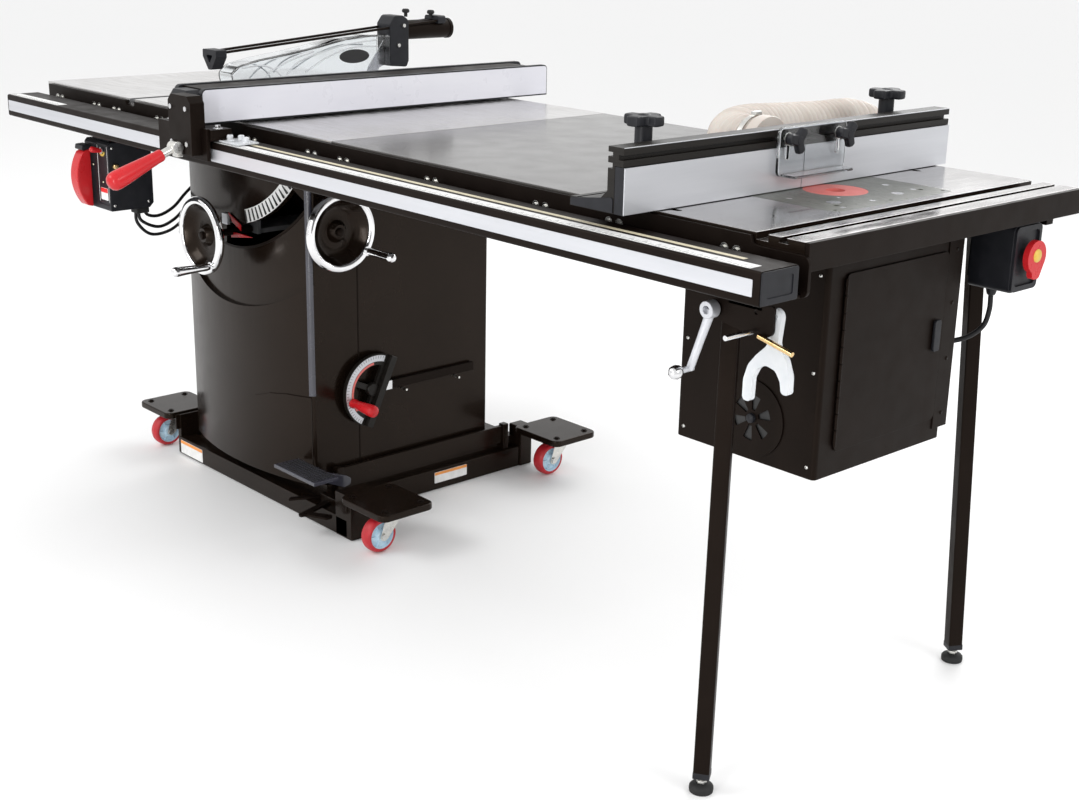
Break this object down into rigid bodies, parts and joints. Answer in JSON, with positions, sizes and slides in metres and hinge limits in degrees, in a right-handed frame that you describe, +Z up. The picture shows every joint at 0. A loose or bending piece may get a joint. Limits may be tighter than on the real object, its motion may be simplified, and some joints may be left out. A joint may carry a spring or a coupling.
{
  "type": "table saw",
  "caption": "Cabinet table saw with iron top, rip fence, long extension, in-line router table with its own fence, legs, dust box and a low wheeled base.",
  "frame": {"origin": "on the floor, at the middle of the saw's footprint", "axes": "+X runs right along the rails, +Y runs back across the tables, +Z is up"},
  "size_m": [2.212, 1.144, 1.04],
  "materials": {
    "cast_iron": "ground and waxed grey iron",
    "laminate": "dark satin laminate",
    "black_paint": "gloss black powder coat",
    "black_steel": "satin black coat",
    "black_plastic": "moulded black plastic",
    "chrome": "polished chrome",
    "zinc": "bright zinc plate",
    "aluminium": "satin anodised aluminium",
    "black_anodised": "black anodised extrusion",
    "white_face": "smooth white facing board",
    "red_plastic": "moulded red plastic",
    "red_rubber": "red polyurethane tread",
    "clear_plastic": "clear polycarbonate",
    "blade_steel": "ground steel",
    "cream_hose": "ribbed off-white hose",
    "black_cord": "black cable jacket",
    "dark_plate": "dark coated plate"
  },
  "bodies": {
    "saw_stand": {"left_wing": "cast_iron", "main_table": "cast_iron", "right_wing": "cast_iron", "throat_plate": "dark_plate", "extension_table": "laminate", "front_rail_tube": "black_steel", "front_rail_angle": "black_steel", "rear_rail": "black_steel", "cabinet": "black_paint", "base_frame": "black_paint", "switch_housing": "black_plastic", "switch_leads": "black_cord", "router_tabletop": "cast_iron", "router_table_frame": "black_steel", "router_insert": "dark_plate", "leg_front": "black_steel", "leg_rear": "black_steel", "router_enclosure": "black_paint", "router_switch_housing": "black_plastic", "accessory_bracket": "zinc", "dust_hose": "cream_hose", "router_cord": "black_cord"},
    "tilt_frame": {"tilt_frame": "cast_iron"},
    "arbor_carriage": {"arbor_block": "cast_iron", "motor": "black_steel", "spreader": "blade_steel"},
    "blade": {"saw_blade": "blade_steel"},
    "guard": {"blade_guard": "clear_plastic", "guard_frame": "black_plastic"},
    "elevation_wheel": {"elevation_wheel": "chrome"},
    "tilt_wheel": {"tilt_wheel": "chrome"},
    "rip_fence": {"rip_fence": "black_steel", "rip_fence_face": "white_face"},
    "fence_handle": {"fence_handle": "red_plastic"},
    "power_paddle": {"power_paddle": "red_plastic"},
    "start_switch": {"start_switch": "red_plastic"},
    "router_fence": {"router_fence": "black_anodised"},
    "router_face_front": {"router_face_front": "aluminium"},
    "router_face_rear": {"router_face_rear": "aluminium"},
    "bit_guard": {"bit_guard": "clear_plastic"},
    "post_knob_front": {"post_knob_front": "black_plastic"},
    "post_knob_rear": {"post_knob_rear": "black_plastic"},
    "guard_knob_front": {"guard_knob_front": "black_plastic"},
    "guard_knob_rear": {"guard_knob_rear": "black_plastic"},
    "enclosure_door": {"enclosure_door": "black_paint"},
    "router_switch_paddle": {"router_switch_paddle": "red_plastic"},
    "mitre_gauge": {"mitre_gauge": "aluminium"},
    "lift_crank": {"lift_crank": "zinc"},
    "foot_front": {"foot_front": "black_plastic"},
    "foot_rear": {"foot_rear": "black_plastic"},
    "foot_pedal": {"foot_pedal": "black_steel"},
    "router_lift": {"router_lift": "aluminium"},
    "caster_front_left": {"caster_fork_front_left": "zinc"},
    "wheel_front_left": {"caster_wheel_front_left": "red_rubber"},
    "caster_front_right": {"caster_fork_front_right": "zinc"},
    "wheel_front_right": {"caster_wheel_front_right": "red_rubber"},
    "caster_rear_left": {"caster_fork_rear_left": "zinc"},
    "wheel_rear_left": {"caster_wheel_rear_left": "red_rubber"},
    "caster_rear_right": {"caster_fork_rear_right": "zinc"},
    "wheel_rear_right": {"caster_wheel_rear_right": "red_rubber"}
  },
  "joints": [
    {"name": "blade_tilt", "type": "hinge", "parent": "saw_stand", "child": "tilt_frame", "pos_m": [-0.566, 0.07347, 0.876], "axis": [0, -1, 0], "range_deg": [0, 45]},
    {"name": "blade_height", "type": "slide", "parent": "tilt_frame", "child": "arbor_carriage", "axis": [0, 0, 1], "range_m": [-0.031, 0.054]},
    {"name": "blade_spin", "type": "hinge", "parent": "arbor_carriage", "child": "blade", "pos_m": [-0.566, 0.09347, 0.774], "axis": [1, 0, 0], "continuous": true},
    {"name": "guard_lift", "type": "hinge", "parent": "arbor_carriage", "child": "guard", "pos_m": [-0.566, 0.29847, 0.975], "axis": [-1, 0, 0], "range_deg": [0, 30]},
    {"name": "elevation_wheel_turn", "type": "hinge", "parent": "tilt_frame", "child": "elevation_wheel", "pos_m": [-0.558, -0.21653, 0.6], "axis": [0, -1, 0], "range_deg": [-935, 1625]},
    {"name": "tilt_wheel_turn", "type": "hinge", "parent": "saw_stand", "child": "tilt_wheel", "pos_m": [-0.274, -0.05453, 0.634], "axis": [1, 0, 0], "range_deg": [0, 3240]},
    {"name": "rip_fence_slide", "type": "slide", "parent": "saw_stand", "child": "rip_fence", "axis": [1, 0, 0], "range_m": [-0.15, 0.84]},
    {"name": "fence_handle_lift", "type": "hinge", "parent": "rip_fence", "child": "fence_handle", "pos_m": [-0.266, -0.42953, 0.843], "axis": [-1, 0, 0], "range_deg": [0, 60]},
    {"name": "power_paddle_pull", "type": "hinge", "parent": "saw_stand", "child": "power_paddle", "pos_m": [-0.794, -0.34853, 0.772], "axis": [-1, 0, 0], "range_deg": [0, 18]},
    {"name": "start_switch_flip", "type": "hinge", "parent": "saw_stand", "child": "start_switch", "pos_m": [-0.744, -0.34053, 0.768], "axis": [1, 0, 0], "range_deg": [0, 25]},
    {"name": "swivel_front_left", "type": "hinge", "parent": "saw_stand", "child": "caster_front_left", "pos_m": [-0.951, -0.07953, 0.095], "axis": [0, 0, 1], "continuous": true},
    {"name": "roll_front_left", "type": "hinge", "parent": "caster_front_left", "child": "wheel_front_left", "pos_m": [-0.951, -0.10953, 0.0375], "axis": [1, 0, 0], "continuous": true},
    {"name": "swivel_front_right", "type": "hinge", "parent": "saw_stand", "child": "caster_front_right", "pos_m": [-0.089, -0.07453, 0.095], "axis": [0, 0, 1], "continuous": true},
    {"name": "roll_front_right", "type": "hinge", "parent": "caster_front_right", "child": "wheel_front_right", "pos_m": [-0.089, -0.10453, 0.0375], "axis": [1, 0, 0], "continuous": true},
    {"name": "swivel_rear_left", "type": "hinge", "parent": "saw_stand", "child": "caster_rear_left", "pos_m": [-0.916, 0.50847, 0.095], "axis": [0, 0, 1], "continuous": true},
    {"name": "roll_rear_left", "type": "hinge", "parent": "caster_rear_left", "child": "wheel_rear_left", "pos_m": [-0.916, 0.47847, 0.0375], "axis": [1, 0, 0], "continuous": true},
    {"name": "swivel_rear_right", "type": "hinge", "parent": "saw_stand", "child": "caster_rear_right", "pos_m": [-0.207, 0.50847, 0.095], "axis": [0, 0, 1], "continuous": true},
    {"name": "roll_rear_right", "type": "hinge", "parent": "caster_rear_right", "child": "wheel_rear_right", "pos_m": [-0.207, 0.47847, 0.0375], "axis": [1, 0, 0], "continuous": true},
    {"name": "router_fence_slide", "type": "slide", "parent": "saw_stand", "child": "router_fence", "axis": [1, 0, 0], "range_m": [0, 0.065]},
    {"name": "front_face_slide", "type": "slide", "parent": "router_fence", "child": "router_face_front", "axis": [0, -1, 0], "range_m": [0, 0.04]},
    {"name": "rear_face_slide", "type": "slide", "parent": "router_fence", "child": "router_face_rear", "axis": [0, 1, 0], "range_m": [0, 0.04]},
    {"name": "bit_guard_slide", "type": "slide", "parent": "router_fence", "child": "bit_guard", "axis": [0, 0, 1], "range_m": [0, 0.026]},
    {"name": "post_knob_front_turn", "type": "hinge", "parent": "router_fence", "child": "post_knob_front", "pos_m": [0.764, -0.24953, 0.94], "axis": [0, 0, 1], "continuous": true},
    {"name": "post_knob_rear_turn", "type": "hinge", "parent": "router_fence", "child": "post_knob_rear", "pos_m": [0.764, 0.33547, 0.94], "axis": [0, 0, 1], "continuous": true},
    {"name": "guard_knob_front_turn", "type": "hinge", "parent": "router_fence", "child": "guard_knob_front", "pos_m": [0.844, -0.00703, 0.957], "axis": [1, 0, 0], "continuous": true},
    {"name": "guard_knob_rear_turn", "type": "hinge", "parent": "router_fence", "child": "guard_knob_rear", "pos_m": [0.844, 0.11597, 0.957], "axis": [1, 0, 0], "continuous": true},
    {"name": "enclosure_door_swing", "type": "hinge", "parent": "saw_stand", "child": "enclosure_door", "pos_m": [1.0268, -0.09053, 0.66], "axis": [0, 0, -1], "range_deg": [0, 110]},
    {"name": "router_switch_press", "type": "slide", "parent": "saw_stand", "child": "router_switch_paddle", "axis": [-1, 0, 0], "range_m": [0, 0.003]},
    {"name": "mitre_gauge_lift_off", "type": "slide", "parent": "saw_stand", "child": "mitre_gauge", "axis": [1, 0, 0], "range_m": [0, 0.028]},
    {"name": "lift_crank_pull_off", "type": "slide", "parent": "saw_stand", "child": "lift_crank", "axis": [0, -1, 0], "range_m": [0, 0.05]},
    {"name": "foot_front_turn", "type": "hinge", "parent": "saw_stand", "child": "foot_front", "pos_m": [0.966, -0.27453, 0.01], "axis": [0, 0, 1], "continuous": true},
    {"name": "foot_rear_turn", "type": "hinge", "parent": "saw_stand", "child": "foot_rear", "pos_m": [0.966, 0.39747, 0.01], "axis": [0, 0, 1], "continuous": true},
    {"name": "foot_pedal_press", "type": "hinge", "parent": "saw_stand", "child": "foot_pedal", "pos_m": [-0.262, -0.06353, 0.095], "axis": [1, 0, 0], "range_deg": [0, 15]},
    {"name": "router_lift_travel", "type": "slide", "parent": "saw_stand", "child": "router_lift", "axis": [0, 0, 1], "range_m": [-0.05, 0.008]}
  ],
  "couplings": [
    {"joint": "elevation_wheel_turn", "follows": "blade_height", "rad_per_m": 523.6},
    {"joint": "tilt_wheel_turn", "follows": "blade_tilt", "ratio": 72}
  ]
}
